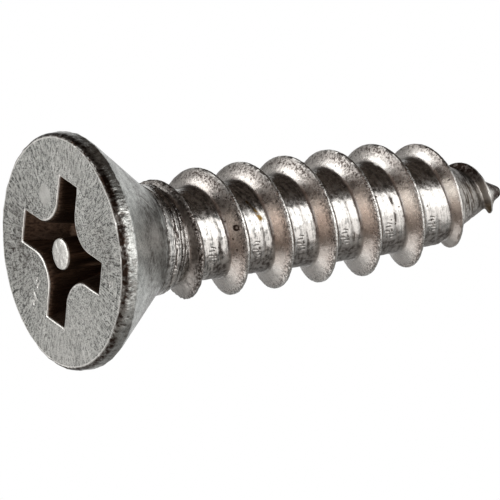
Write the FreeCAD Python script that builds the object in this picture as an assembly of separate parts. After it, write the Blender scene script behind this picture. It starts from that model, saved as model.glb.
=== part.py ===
import FreeCAD, Part
import math
import os

# Flat head sheet metal screw with a gimlet point and a cross recess that has a centre pin.
# One solid, cold headed and thread rolled from wire. Millimetres.
# Frame: the flat head face lies in z = 0, the point is up, and the screw's axis is the Z axis.
# Two of the recess wings lie along X and two along Y.

# Head
HEAD_DIAMETER = 11.84
EDGE_ROLL = 0.34             # rolled edge between the flat face and the land, as two narrow chamfers
LAND_HEIGHT = 0.86           # cylindrical band, measured from the flat face
CONE_HALF_ANGLE = 40.7
NECK_DIAMETER = 5.53
NECK_FILLET = 1.55           # where the cone runs out into the neck
NECK_LENGTH = 0.60           # from the sharp corner under the cone to where the shank narrows
SHOULDER_LENGTH = 1.10       # tapers from the neck to the thread's root

# Shank and gimlet point
SCREW_LENGTH = 25.27
ROOT_DIAMETER = 4.66
POINT_HALF_ANGLE = 25.5
LEAD_LENGTH = 3.30           # the shank narrows a little over this length before the point's cone
LEAD_STEP = 0.15             # by how much, on the radius
TIP_ROUND = 0.35

# Thread: one right-hand ridge, rolled up to the neck and down to the tip
THREAD_PITCH = 2.54
CREST_DIAMETER = 6.45
CREST_WIDTH = 0.22
FLANK_ANGLE = 30.0           # each flank, from the plane square to the axis
CREST_ANGLE = 155.1          # polar angle at which a crest stands at the height below
CREST_HEIGHT = 9.275
RUN_OUT_DIAMETER = 5.57      # crest diameter where the ridge leaves the neck
RUN_OUT_TURNS = 1.15         # turns in which the crest grows to its full diameter
POINT_TAPER_LENGTH = 6.55    # the ridge loses depth over this length, up to the tip
TIP_THREAD_DEPTH = 0.40      # ridge depth just before it fades out
TIP_FADE_START = 0.75        # from here the ridge fades into the round tip, measured from the tip
TIP_FADE_END = 0.40          # and here it has sunk into it
RIDGE_SINK = 0.15            # how far the ridge's base lies inside the core
POINTS_PER_TURN = 12

# Cross recess with a centre pin
WING_SPAN = 7.38             # across two opposite wings at the face
WING_WIDTH = 1.63
LOBE_ROUND = 1.64            # rounded corner between two wings at the face
ENTRY_DEPTH = 0.24           # steep lip that the punch leaves at the face
ENTRY_STEP = 0.06
WING_END_ANGLE = 26.5        # slope of a wing's end, from the axis
WALL_DRAFT = 4.0             # slope of a wing's sides, from the axis
LOBE_ROUND_DEEP = 0.75       # the same corner at the bottom of the recess
RECESS_DEPTH = 3.20          # at the foot of the pin
FLOOR_ANGLE = 28.0           # slope of the conical floor, from the plane of the face
PIN_DIAMETER = 1.60
PIN_SUNK = 0.03              # the pin's top lies this far inside the face
PIN_EDGE = 0.10              # chamfer round the pin's top

CUT_OVERRUN = 0.50


def tangent(degrees):
    return math.tan(math.radians(degrees))


def on_meridian(radius, height, angle=0.0):
    """Point at a radius and height in the half plane at this polar angle, in radians."""
    return FreeCAD.Vector(radius * math.cos(angle), radius * math.sin(angle), height)


def rounded_wire(corners):
    """Closed wire through (point, rounding radius) corners, with a tangent arc at each rounded one."""
    edges = []
    last_point = None
    first_point = None
    for index, (corner, radius) in enumerate(corners):
        before = (corners[index - 1][0] - corner).normalize()
        after = (corners[(index + 1) % len(corners)][0] - corner).normalize()
        start = corner
        end = corner
        arc = None
        if radius > 0:
            half_angle = before.getAngle(after) / 2
            reach = radius / math.tan(half_angle)
            start = corner + before * reach
            end = corner + after * reach
            bisector = (before + after).normalize()
            middle = corner + bisector * (radius / math.sin(half_angle) - radius)
            arc = Part.Arc(start, middle, end).toShape()
        if last_point is None:
            first_point = start
        else:
            edges.append(Part.LineSegment(last_point, start).toShape())
        if arc is not None:
            edges.append(arc)
        last_point = end
    edges.append(Part.LineSegment(last_point, first_point).toShape())
    return Part.Wire(edges)


def turned(corners):
    """Solid turned about the Z axis from (radius, height, rounding) corners."""
    wire = rounded_wire([(on_meridian(radius, height), rounding) for radius, height, rounding in corners])
    face = Part.Face(wire)
    return face.revolve(FreeCAD.Vector(0, 0, 0), FreeCAD.Vector(0, 0, 1), 360)


HEAD_RADIUS = HEAD_DIAMETER / 2
NECK_RADIUS = NECK_DIAMETER / 2
ROOT_RADIUS = ROOT_DIAMETER / 2
CREST_RADIUS = CREST_DIAMETER / 2
THREAD_DEPTH = CREST_RADIUS - ROOT_RADIUS

CONE_END = LAND_HEIGHT + (HEAD_RADIUS - NECK_RADIUS) / tangent(CONE_HALF_ANGLE)
NECK_END = CONE_END + NECK_LENGTH
SHANK_START = NECK_END + SHOULDER_LENGTH

# The round tip is a ball that the point's cone touches; the cone itself would meet the axis higher up.
TIP_BALL_HEIGHT = SCREW_LENGTH - TIP_ROUND
POINT_APEX = TIP_BALL_HEIGHT + TIP_ROUND / math.sin(math.radians(POINT_HALF_ANGLE))
POINT_START = POINT_APEX - (ROOT_RADIUS - LEAD_STEP) / tangent(POINT_HALF_ANGLE)
LEAD_START = POINT_START - LEAD_LENGTH


def screw_core():
    """Head, neck, shank and point without the thread, turned as one."""
    touch_radius = TIP_ROUND * math.cos(math.radians(POINT_HALF_ANGLE))
    touch_height = TIP_BALL_HEIGHT + TIP_ROUND * math.sin(math.radians(POINT_HALF_ANGLE))
    roll_middle = EDGE_ROLL * (1 - math.sqrt(0.5))
    body = turned([
        (0, 0, 0),
        (HEAD_RADIUS - EDGE_ROLL, 0, 0),
        (HEAD_RADIUS - roll_middle, roll_middle, 0),
        (HEAD_RADIUS, EDGE_ROLL, 0),
        (HEAD_RADIUS, LAND_HEIGHT, 0),
        (NECK_RADIUS, CONE_END, NECK_FILLET),
        (NECK_RADIUS, NECK_END, 0),
        (ROOT_RADIUS, SHANK_START, 0),
        (ROOT_RADIUS, LEAD_START, 0),
        (ROOT_RADIUS - LEAD_STEP, POINT_START, 0),
        (touch_radius, touch_height, 0),
        (0, touch_height, 0),
    ])
    ball = Part.makeSphere(TIP_ROUND, FreeCAD.Vector(0, 0, TIP_BALL_HEIGHT))
    return body.fuse(ball)


def core_radius(height):
    """Radius of the shank, of its lead or of the point's cone at this height."""
    lead = ROOT_RADIUS - LEAD_STEP * (height - LEAD_START) / LEAD_LENGTH
    point = (POINT_APEX - height) * tangent(POINT_HALF_ANGLE)
    return min(ROOT_RADIUS, lead, point)


def ridge_depth(height, turns):
    """Depth of the ridge's crest over the core, with the run-out, the point taper and the fade."""
    depth = THREAD_DEPTH
    if turns < RUN_OUT_TURNS:
        start_depth = RUN_OUT_DIAMETER / 2 - ROOT_RADIUS
        depth = start_depth + (THREAD_DEPTH - start_depth) * turns / RUN_OUT_TURNS
    from_tip = SCREW_LENGTH - height
    if from_tip < POINT_TAPER_LENGTH:
        share = (from_tip - TIP_FADE_START) / (POINT_TAPER_LENGTH - TIP_FADE_START)
        depth = TIP_THREAD_DEPTH + (THREAD_DEPTH - TIP_THREAD_DEPTH) * share
    if from_tip < TIP_FADE_START:
        share = (TIP_FADE_START - from_tip) / (TIP_FADE_START - TIP_FADE_END)
        depth = TIP_THREAD_DEPTH - (TIP_THREAD_DEPTH + RIDGE_SINK / 2) * share
    return depth


def ridge_corners(turned_by):
    """The four corners of the ridge's section after so many turns, from base to crest to base."""
    height = CONE_END + THREAD_PITCH * turned_by
    angle = math.radians(CREST_ANGLE + 360 * (height - CREST_HEIGHT) / THREAD_PITCH)
    depth = ridge_depth(height, turned_by)
    crest = core_radius(height) + depth
    half_base = CREST_WIDTH / 2 + (depth + RIDGE_SINK) * tangent(FLANK_ANGLE)
    low = height - half_base
    high = height + half_base
    return [
        on_meridian(core_radius(low) - RIDGE_SINK, low, angle),
        on_meridian(crest, height - CREST_WIDTH / 2, angle),
        on_meridian(crest, height + CREST_WIDTH / 2, angle),
        on_meridian(core_radius(high) - RIDGE_SINK, high, angle),
    ]


def ridge_piece(first, last):
    """Closed solid of the ridge between two turn counts: four helical faces and two flat ends."""
    steps = math.ceil((last - first) * POINTS_PER_TURN)
    shares = [step / steps for step in range(steps + 1)]
    sections = [ridge_corners(first + (last - first) * share) for share in shares]
    edges = []
    for corner in range(4):
        curve = Part.BSplineCurve()
        curve.interpolate(Points=[section[corner] for section in sections], Parameters=shares)
        edges.append(curve.toShape())
    forward = 1
    faces = [Part.makeRuledSurface(edges[side - 1], edges[side], forward) for side in range(4)]
    for section in (sections[0], sections[-1]):
        faces.append(Part.Face(Part.makePolygon(section + section[:1])))
    skin = Part.makeCompound(faces)
    skin.sewShape()
    ridge = Part.Solid(skin.Shells[0])
    if ridge.Volume < 0:
        ridge.reverse()
    return ridge


def thread_ridge():
    """The whole helical ridge as pieces of one turn, whose base and outer ends lie inside the core."""
    turns = (SCREW_LENGTH - TIP_FADE_END - CONE_END) / THREAD_PITCH
    pieces = math.ceil(turns)
    return [ridge_piece(turns * piece / pieces, turns * (piece + 1) / pieces) for piece in range(pieces)]


def cross_wire(height, end, half_width, corner):
    """Outline of the four wings at one height: square ends, straight sides, rounded lobes between."""
    edges = []
    for quarter in range(4):
        turn = FreeCAD.Rotation(FreeCAD.Vector(0, 0, 1), 90 * quarter)
        far = half_width + corner
        apex = far - corner * math.sqrt(0.5)
        plan = [(end, -half_width), (end, half_width), (far, half_width), (apex, apex), (half_width, far),
                (half_width, end)]
        points = [turn.multVec(FreeCAD.Vector(x, y, height)) for x, y in plan]
        edges.append(Part.LineSegment(points[0], points[1]).toShape())
        edges.append(Part.LineSegment(points[1], points[2]).toShape())
        edges.append(Part.Arc(points[2], points[3], points[4]).toShape())
        edges.append(Part.LineSegment(points[4], points[5]).toShape())
    return Part.Wire(edges)


def pinned_recess():
    """What the punch takes out of the head: four tapered wings over a conical floor, round a pin."""
    floor_apex = RECESS_DEPTH + PIN_DIAMETER / 2 * tangent(FLOOR_ANGLE)
    end = WING_SPAN / 2
    half_width = WING_WIDTH / 2
    deep = floor_apex - ENTRY_DEPTH
    lip_end = end - ENTRY_STEP
    lip_half_width = half_width - ENTRY_STEP
    deep_end = lip_end - deep * tangent(WING_END_ANGLE)
    deep_half_width = lip_half_width - deep * tangent(WALL_DRAFT)
    overrun = CUT_OVERRUN / ENTRY_DEPTH * ENTRY_STEP
    lip = Part.makeLoft([
        cross_wire(-CUT_OVERRUN, end + overrun, half_width + overrun, LOBE_ROUND),
        cross_wire(ENTRY_DEPTH, lip_end, lip_half_width, LOBE_ROUND),
    ], True, True)
    wings = Part.makeLoft([
        cross_wire(ENTRY_DEPTH, lip_end, lip_half_width, LOBE_ROUND),
        cross_wire(floor_apex, deep_end, deep_half_width, LOBE_ROUND_DEEP),
    ], True, True)
    floor_radius = floor_apex / tangent(FLOOR_ANGLE)
    above_floor = turned([(0, 0, 0), (floor_radius, 0, 0), (0, floor_apex, 0)])
    pin = turned([
        (0, PIN_SUNK, 0),
        (PIN_DIAMETER / 2 - PIN_EDGE, PIN_SUNK, 0),
        (PIN_DIAMETER / 2, PIN_SUNK + PIN_EDGE, 0),
        (PIN_DIAMETER / 2, floor_apex, 0),
        (0, floor_apex, 0),
    ])
    return lip.fuse(wings.common(above_floor)).cut(pin)


def make_screw():
    body = screw_core().fuse(thread_ridge())
    return body.cut(pinned_recess()).removeSplitter()


os.makedirs("parts", exist_ok=True)
screw = make_screw()
screw.exportStep("parts/screw.step")
print("screw: valid", screw.isValid(), "solids", len(screw.Solids), "faces", len(screw.Faces),
      "volume", round(screw.Volume, 2))
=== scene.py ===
"""Flat head sheet metal screw with a pinned cross recess, laid out as a Blender add-on.

The screw stands on its head at the origin and its axis is the Z axis. Shapes are worked out in
millimetres and written to the meshes in metres.
"""

import math
from functools import partial, reduce
from types import SimpleNamespace

import bpy
import numpy as np
from bpy.props import FloatProperty, FloatVectorProperty, IntProperty, PointerProperty
from mathutils import Matrix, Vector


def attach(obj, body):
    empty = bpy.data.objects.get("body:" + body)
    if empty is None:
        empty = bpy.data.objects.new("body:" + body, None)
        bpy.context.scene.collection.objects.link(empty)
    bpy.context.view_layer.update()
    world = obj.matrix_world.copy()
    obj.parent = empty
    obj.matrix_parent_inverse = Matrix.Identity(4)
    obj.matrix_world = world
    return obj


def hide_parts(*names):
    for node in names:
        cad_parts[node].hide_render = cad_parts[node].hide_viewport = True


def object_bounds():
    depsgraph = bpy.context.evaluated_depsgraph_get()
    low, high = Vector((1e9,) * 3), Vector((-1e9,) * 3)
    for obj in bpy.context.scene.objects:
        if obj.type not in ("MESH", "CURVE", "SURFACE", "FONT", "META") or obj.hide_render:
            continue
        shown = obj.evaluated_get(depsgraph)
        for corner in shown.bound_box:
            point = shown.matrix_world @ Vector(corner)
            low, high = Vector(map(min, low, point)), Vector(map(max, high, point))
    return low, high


bl_info = {
    "name": "Pinned sheet metal screw",
    "version": (1, 0, 0),
    "blender": (4, 5, 0),
    "location": "3D View > Sidebar > Screw",
    "description": "Builds a flat head sheet metal screw with a pinned cross recess, and its studio",
    "category": "Add Mesh",
}

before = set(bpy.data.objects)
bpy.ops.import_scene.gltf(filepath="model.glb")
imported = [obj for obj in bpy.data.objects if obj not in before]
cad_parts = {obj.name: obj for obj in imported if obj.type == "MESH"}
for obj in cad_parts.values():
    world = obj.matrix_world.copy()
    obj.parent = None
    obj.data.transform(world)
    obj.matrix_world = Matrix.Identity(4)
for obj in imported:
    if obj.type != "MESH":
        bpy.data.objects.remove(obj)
CAD_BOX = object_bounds()

MM = 0.001
HEAD_ACROSS = CAD_BOX[1].x - CAD_BOX[0].x
SCREW_LENGTH = CAD_BOX[1].z
IMAGE_SIZE = 500
SENSOR_MM = 36.0
# The head's rings end at this height above the face in millimetres, and the thread's rows start there
FIRST_ROW = 4.50
# Rings in each part of the sheet, from the pin's top to the neck
PIN_TOP_RINGS = 4
PIN_SIDE_RINGS = 7
FLOOR_RINGS = 6
WALL_RINGS = 11
FACE_RINGS = 22
LAND_RINGS = 7
CONE_RINGS = 13
NECK_RINGS = 20
# Rows in each part of a turn: half crest, flank, root, flank and half crest
ROWS_IN_TURN = (2, 8, 16, 8, 2)
# Radius of the innermost ring on the pin's top, in millimetres
PIN_CENTRE = 0.16
# Steps of halving that find where the recess's walls meet its floor
HALVINGS = 30
# The face's rings are spread by this power of a smooth step
FACE_SPREAD = 0.8
# Rounded corners in millimetres: the recess's lip, the land's lower edge, and the ridge's top and foot
LIP_ROUND = 0.075
LAND_ROUND = 0.07
CREST_ROUND = 0.04
FOOT_ROUND = 0.16
# The cone's rings are closer from this distance before its lower end, in millimetres
CLOSER_RINGS = 0.6
# The faded ridge sinks this deep into the tip, in millimetres
TIP_SINK = 0.075
# The ridge's run-out is continued this share of its length below the cone's lower end
RUN_OUT_BELOW = -0.3
# A ridge lower than this is treated as this high when its parts are told apart, in millimetres
LEAST_DEPTH = 0.2


def length_property(name, description, millimetres):
    return FloatProperty(name=name, description=description, default=millimetres * MM, unit="LENGTH")


def angle_property(name, description, degrees):
    return FloatProperty(name=name, description=description, default=math.radians(degrees), unit="ROTATION")


def linear(hex_colour):
    """Linear RGBA of an sRGB hex colour, by the sRGB curve."""
    levels = [int(hex_colour[i:i + 2], 16) / 255 for i in (1, 3, 5)]
    return [v / 12.92 if v <= 0.04045 else ((v + 0.055) / 1.055) ** 2.4 for v in levels] + [1.0]


def colour_property(name, description, hex_colour):
    return FloatVectorProperty(
        name=name, description=description, default=linear(hex_colour), size=4, subtype="COLOR", min=0, max=1
    )


class HeadSizes(bpy.types.PropertyGroup):
    head_diameter: length_property("Head diameter", "Across the land", HEAD_ACROSS / MM)
    edge_roll: length_property("Edge roll", "Rounding between the face and the land", 0.34)
    land_height: length_property("Land height", "Cylindrical band, from the face", 0.86)
    cone_angle: angle_property("Cone half angle", "Slope of the cone, from the axis", 40.7)
    neck_diameter: length_property("Neck diameter", "Under the cone", 5.53)
    neck_fillet: length_property("Neck fillet", "Where the cone runs out into the neck", 1.55)
    neck_length: length_property("Neck length", "From the cone to where the shank narrows", 0.60)
    shoulder_length: length_property("Shoulder length", "Tapers from the neck to the root", 1.10)


class ThreadSizes(bpy.types.PropertyGroup):
    screw_length: length_property("Screw length", "From the face to the tip", SCREW_LENGTH / MM)
    root_diameter: length_property("Root diameter", "Shank between the turns", 4.66)
    point_angle: angle_property("Point half angle", "Slope of the point, from the axis", 25.5)
    lead_length: length_property("Lead length", "The shank narrows a little over this length", 3.30)
    lead_step: length_property("Lead step", "By how much, on the radius", 0.15)
    tip_round: length_property("Tip round", "Radius of the blunt tip", 0.35)
    pitch: length_property("Pitch", "From crest to crest", 2.54)
    crest_diameter: length_property("Crest diameter", "Across the thread", 6.45)
    crest_width: length_property("Crest width", "Flat on top of the ridge", 0.12)
    flank_angle: angle_property("Flank angle", "Each flank, from the plane square to the axis", 30.0)
    crest_angle: angle_property("Crest angle", "Polar angle of a crest at the crest height", 155.1)
    crest_height: length_property("Crest height", "Height of a crest at the crest angle", 9.275)
    run_out_diameter: length_property("Run-out diameter", "Crest where the ridge leaves the neck", 5.57)
    run_out_turns: FloatProperty(
        name="Run-out turns", description="Turns in which the crest grows to its full diameter", default=1.15
    )
    point_taper: length_property("Point taper", "The ridge loses depth over this length", 6.55)
    tip_depth: length_property("Tip depth", "Ridge depth just before it fades out", 0.40)
    fade_start: length_property("Fade start", "The ridge fades from here, measured from the tip", 0.75)
    fade_end: length_property("Fade end", "The ridge has gone here", 0.40)


class RecessSizes(bpy.types.PropertyGroup):
    wing_span: length_property("Wing span", "Across two opposite wings at the face", 7.38)
    wing_width: length_property("Wing width", "At the face", 1.63)
    lobe_round: length_property("Lobe round", "Rounded corner between two wings", 1.64)
    lobe_round_deep: length_property("Deep lobe round", "The same corner at the bottom", 0.75)
    entry_depth: length_property("Entry depth", "Steep lip that the punch leaves", 0.24)
    entry_step: length_property("Entry step", "Width of the lip", 0.06)
    wing_end_angle: angle_property("Wing end angle", "Slope of a wing's end, from the axis", 26.5)
    wall_draft: angle_property("Wall draft", "Slope of a wing's sides, from the axis", 4.0)
    depth: length_property("Depth", "At the foot of the pin", 3.20)
    floor_angle: angle_property("Floor angle", "Slope of the conical floor", 28.0)
    pin_diameter: length_property("Pin diameter", "Pin in the middle of the recess", 1.60)
    pin_sunk: length_property("Pin sunk", "The pin's top lies this far inside the face", 0.03)
    pin_edge: length_property("Pin edge", "Rounding of the pin's top", 0.10)
    pin_shift_x: length_property("Pin shift X", "The pin stands this far off the axis", -0.17)
    pin_shift_y: length_property("Pin shift Y", "The pin stands this far off the axis", -0.165)


class MeshDensity(bpy.types.PropertyGroup):
    columns: IntProperty(name="Columns", description="Points around the screw, a multiple of 8", default=240)


class SteelColours(bpy.types.PropertyGroup):
    tumbled: colour_property("Tumbled steel", "Face, land and cone", "#D2D4D0")
    tumbled_dark: colour_property("Tumbled steel, dark grain", "Between the rubbed grains", "#383A38")
    # Worn edges and lighter patches, and also the colour of painted highlights on edges, the cone, the
    # crests, the flanks and the tip
    rubbed_and_highlight: colour_property("Rubbed steel and painted highlights", "Edges, the pin's top and lighter patches", "#E6E6E2")
    rolled: colour_property("Rolled steel", "Thread and neck", "#CFCDC9")
    # Also the colour of a painted warm reflection on the flanks, stronger round one side
    rolled_film: colour_property("Film and painted warm reflection on rolled steel", "On the flanks", "#C9BAB0")
    # Brown in pits and grooves, and also the colour of painted shade in the corners at the flanks' feet, on
    # the first ridge, under the roots and on the cone
    soil_and_shade: colour_property("Brown residue", "In pits, and painted shade in corners", "#3A2E27")
    punched: colour_property("Punched steel", "Inside the recess", "#8C7A6B")
    punched_dark: colour_property("Punched steel, dark", "Between the score marks", "#54453A")
    heat_gold: colour_property("Golden tint", "Speck on the thread, and the point", "#6A5530")


def own_keys(group):
    """Names of the properties that the group itself declares."""
    return [key for key in group.bl_rna.properties.keys() if key not in ("rna_type", "name")]


def in_millimetres(group):
    """The group's values in a plain namespace: lengths in millimetres, angles in radians."""
    values = {key: getattr(group, key) for key in own_keys(group)}
    for key in values:
        if group.bl_rna.properties[key].unit == "LENGTH":
            values[key] /= MM
    return SimpleNamespace(**values)


# Shape functions


def smooth(x):
    """Smooth step of x clipped to 0..1: three times its square less twice its cube."""
    x = np.clip(x, 0.0, 1.0)
    return x * x * (3.0 - 2.0 * x)


def soft_max(a, b, width):
    """Larger of a and b, with the corner between them rounded over this width by a parabola."""
    mix = np.clip(0.5 + 0.5 * (a - b) / width, 0.0, 1.0)
    return b + (a - b) * mix + width * mix * (1.0 - mix)


def soft_min(a, b, width):
    """Smaller of a and b, with the corner rounded in the same way."""
    return -soft_max(-a, -b, width)


def value_noise(points, seed):
    """Noise between -1 and 1: random values on the whole-number grid, blended smoothly in between."""
    cell = np.floor(points)
    share = points - cell
    share = share * share * (3.0 - 2.0 * share)
    total = np.zeros(len(points))
    dims = points.shape[1]
    factors = np.array([127.1, 311.7, 74.7, 269.5])[:dims]
    for corner in range(2 ** dims):
        step = np.array([(corner >> axis) & 1 for axis in range(dims)], float)
        wave = np.sin((cell + step) @ factors + seed) * 43758.5453
        weight = np.prod(np.where(step > 0, share, 1.0 - share), axis=1)
        total += weight * (wave - np.floor(wave))
    return total * 2.0 - 1.0


def layered_noise(points, size, seed, layers=3):
    """Sum of noise layers, each half as large and half as strong as the one before."""
    total = np.zeros(len(points))
    for layer in range(layers):
        scale = 2.0 ** layer
        total += value_noise(points * (scale / size) + 17.3 * layer, seed + layer) / scale
    return total


class ScrewShape:
    """The screw's surface in millimetres, from its sizes."""

    def __init__(self, head, thread, recess, columns):
        self.head = head
        self.thread = thread
        self.recess = recess
        self.columns = columns
        self.angles = 2.0 * math.pi * np.arange(columns) / columns
        self.head_radius = head.head_diameter / 2
        self.neck_radius = head.neck_diameter / 2
        self.root_radius = thread.root_diameter / 2
        self.crest_depth = (thread.crest_diameter - thread.root_diameter) / 2
        self.cone_end = head.land_height + (self.head_radius - self.neck_radius) / math.tan(head.cone_angle)
        self.neck_end = self.cone_end + head.neck_length
        self.shank_start = self.neck_end + head.shoulder_length
        self.ball_height = thread.screw_length - thread.tip_round
        self.apex = self.ball_height + thread.tip_round / math.sin(thread.point_angle)
        self.touch_height = self.ball_height + thread.tip_round * math.sin(thread.point_angle)
        self.point_start = self.apex - (self.root_radius - thread.lead_step) / math.tan(thread.point_angle)
        self.lead_start = self.point_start - thread.lead_length

    def shank_radius(self, height):
        """Radius that the ridge stands on: root, lead or point, without the neck."""
        thread = self.thread
        lead = self.root_radius - thread.lead_step * (height - self.lead_start) / thread.lead_length
        point = (self.apex - height) * math.tan(thread.point_angle)
        return np.minimum(np.minimum(self.root_radius, lead), point)

    def core_radius(self, height):
        """Cone, concave fillet, neck, shoulder, root, lead and point, by height above the face."""
        head = self.head
        cone = self.head_radius - (height - head.land_height) * math.tan(head.cone_angle)
        reach = head.neck_fillet * math.tan(head.cone_angle / 2)
        low = self.cone_end - reach * math.cos(head.cone_angle)
        high = self.cone_end + reach
        inside = np.clip(head.neck_fillet ** 2 - (np.clip(height, low, high) - high) ** 2, 0, None)
        fillet = self.neck_radius + head.neck_fillet - np.sqrt(inside)
        share = (height - self.neck_end) / head.shoulder_length
        shoulder = self.neck_radius + share * (self.root_radius - self.neck_radius)
        shoulder = np.minimum(self.neck_radius, shoulder)
        radius = np.where(height < self.shank_start, shoulder, self.shank_radius(height))
        radius = np.where(height < high, fillet, radius)
        return np.where(height < low, cone, radius)

    def ridge_depth(self, height):
        """Depth of the crest over the core, with the run-out, the point taper and the fade."""
        thread = self.thread
        turns = (height - self.cone_end) / thread.pitch
        start = thread.run_out_diameter / 2 - self.root_radius
        grown = np.clip(turns / thread.run_out_turns, RUN_OUT_BELOW, 1.0)
        depth = start + (self.crest_depth - start) * grown
        from_tip = thread.screw_length - height
        share = (from_tip - thread.fade_start) / (thread.point_taper - thread.fade_start)
        taper = thread.tip_depth + (self.crest_depth - thread.tip_depth) * share
        depth = np.where(from_tip < thread.point_taper, taper, depth)
        fade = (thread.fade_start - from_tip) / (thread.fade_start - thread.fade_end)
        faded = thread.tip_depth * (1.0 - fade) - TIP_SINK * fade
        return np.where(from_tip < thread.fade_start, faded, depth)

    def along_meridian(self, distance):
        """Height and core radius at a meridian distance: the height itself up to the ball, then round it."""
        beyond = np.clip(distance - self.touch_height, 0.0, None) / self.thread.tip_round
        turn = np.minimum(self.thread.point_angle + beyond, math.pi / 2)
        on_ball = self.ball_height + self.thread.tip_round * np.sin(turn)
        height = np.where(beyond > 0, on_ball, distance)
        radius = np.where(beyond > 0, self.thread.tip_round * np.cos(turn), self.core_radius(distance))
        return height, radius

    def pole_distance(self):
        """Meridian distance of the tip's pole: up to the ball, then an arc of it."""
        return self.touch_height + self.thread.tip_round * (math.pi / 2 - self.thread.point_angle)

    def cross_outline(self, end, half_width, corner):
        """Outline of the recess: from the middle of a wing's end, along its side and round the lobe.

        A quarter is half an end, a straight side, the lobe's arc about (far, far), and the same in reverse.
        Of 64 parts of its points, half an end takes 7 and a side 11.
        """
        quarter = self.columns // 4
        ends, sides = quarter * 7 // 64, quarter * 11 // 64
        arc = quarter - 2 * (ends + sides)
        far = half_width + corner
        up = np.linspace(0, half_width, ends, endpoint=False)
        along = np.linspace(end, far, sides, endpoint=False)
        turn = np.linspace(-0.5 * math.pi, -math.pi, arc, endpoint=False)
        back = np.linspace(far, end, sides, endpoint=False)
        home = np.linspace(half_width, 0, ends, endpoint=False)
        x = np.concatenate([
            np.full(ends, end), along, far + corner * np.cos(turn), np.full(sides, half_width), home
        ])
        y = np.concatenate([
            up, np.full(sides, half_width), far + corner * np.sin(turn), back, np.full(ends, end)
        ])
        quarters = [(x, y), (-y, x), (-x, -y), (y, -x)]
        return np.concatenate([np.stack(q, axis=1) for q in quarters])

    def ring(self, plan, height):
        """Points of one ring, from their places in plan and one height, or one for each point."""
        return np.column_stack([plan, np.broadcast_to(height, self.columns)])

    def circle(self, radius, height, centre=(0.0, 0.0)):
        """The centre plus the radius times the cosine and the sine of each angle, at one height."""
        around = np.column_stack([np.cos(self.angles), np.sin(self.angles)])
        return self.ring(centre + radius * around, height)

    def recess_rings(self):
        """Named rings from the pin's top down its side, over the conical floor and up the walls to the face.

        A wall is ruled between the cross outline under the lip and the smaller one at the floor's apex.
        Its foot is where that ruling meets the cone, found by halving.
        """
        size = self.recess
        slope = math.tan(size.floor_angle)
        floor_apex = size.depth + size.pin_diameter / 2 * slope
        deep = floor_apex - size.entry_depth
        end, half_width = size.wing_span / 2, size.wing_width / 2
        lip_end, lip_half = end - size.entry_step, half_width - size.entry_step
        lip = self.cross_outline(lip_end, lip_half, size.lobe_round)
        bottom = self.cross_outline(
            lip_end - deep * math.tan(size.wing_end_angle),
            lip_half - deep * math.tan(size.wall_draft),
            size.lobe_round_deep,
        )

        def on_floor(plan):
            return self.ring(plan, floor_apex - np.hypot(*plan.T) * slope)

        low, high = np.zeros(self.columns), np.ones(self.columns)
        for _ in range(HALVINGS):
            middle = (low + high) / 2
            above = size.entry_depth + middle * deep < on_floor(lip + middle[:, None] * (bottom - lip))[:, 2]
            low = np.where(above, middle, low)
            high = np.where(above, high, middle)
        foot = lip + low[:, None] * (bottom - lip)

        pin, centre = size.pin_diameter / 2, (size.pin_shift_x, size.pin_shift_y)
        rings = [
            ("pin_top", self.circle(radius, size.pin_sunk, centre))
            for radius in np.linspace(PIN_CENTRE, pin - size.pin_edge, PIN_TOP_RINGS)
        ]
        for turn in np.radians((30, 60, 90)):
            height = size.pin_sunk + size.pin_edge * (1 - math.cos(turn))
            rings.append(("pin_top", self.circle(pin - size.pin_edge * (1 - math.sin(turn)), height, centre)))
        top = rings[-1][1]
        pin_foot = on_floor(self.circle(pin, 0.0, centre)[:, :2])
        for share in np.linspace(0, 1, PIN_SIDE_RINGS + 1)[1:]:
            rings.append(("recess", top + share * (pin_foot - top)))
        for share in np.linspace(0, 1, FLOOR_RINGS + 1)[1:]:
            rings.append(("recess", on_floor(pin_foot[:, :2] + share * (foot - pin_foot[:, :2]))))
        for share in np.linspace(1, 0, WALL_RINGS + 1)[1:]:
            part = low * share
            plan = lip + part[:, None] * (bottom - lip)
            rings.append(("recess", self.ring(plan, size.entry_depth + part * deep)))
        for out, height, name in (
            (-0.5 * size.entry_step, size.entry_depth / 2, "entry"), (0.0, LIP_ROUND, "entry"),
            (0.12 * LIP_ROUND, 0.5 * LIP_ROUND, "lip"), (0.5 * LIP_ROUND, 0.12 * LIP_ROUND, "lip"),
            (LIP_ROUND, 0.0, "lip"),
        ):
            plan = self.cross_outline(end + out, half_width + out, size.lobe_round - out)
            rings.append((name, self.ring(plan, height)))
        return rings

    def head_rings(self, inner):
        """Named rings from the recess over the face, rolled edge, land and cone to the first row.

        They are circles whose radius and height follow the profile. Only those on the face change
        from the recess's outline to a circle.
        """
        head = self.head
        roll_across = 0.7 * head.edge_roll
        outer = self.circle(self.head_radius - roll_across, 0.0)
        rings = [
            ("face", inner + smooth(share) ** FACE_SPREAD * (outer - inner))
            for share in np.linspace(0, 1, FACE_RINGS + 1)[1:]
        ]
        for turn in np.radians((18, 36, 54, 72, 90)):
            radius = self.head_radius - roll_across * (1 - math.sin(turn))
            rings.append(("roll", self.circle(radius, head.edge_roll * (1 - math.cos(turn)))))
        for height in np.linspace(head.edge_roll, head.land_height - LAND_ROUND, LAND_RINGS + 1)[1:]:
            rings.append(("land", self.circle(self.head_radius, height)))
        reach = LAND_ROUND / math.tan(head.cone_angle / 2)
        for share in (0.35, 0.65, 1.0):
            turn = share * head.cone_angle
            height = head.land_height - LAND_ROUND + reach * math.sin(turn)
            rings.append(("land", self.circle(self.head_radius - reach * (1 - math.cos(turn)), height)))
        neck = self.cone_end - CLOSER_RINGS
        heights = np.concatenate([
            np.linspace(height, neck, CONE_RINGS + 1)[1:], np.linspace(neck, FIRST_ROW, NECK_RINGS + 1)[1:]
        ])
        for radius, height in zip(self.core_radius(heights), heights):
            rings.append(("cone", self.circle(radius, height)))
        return rings

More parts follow.
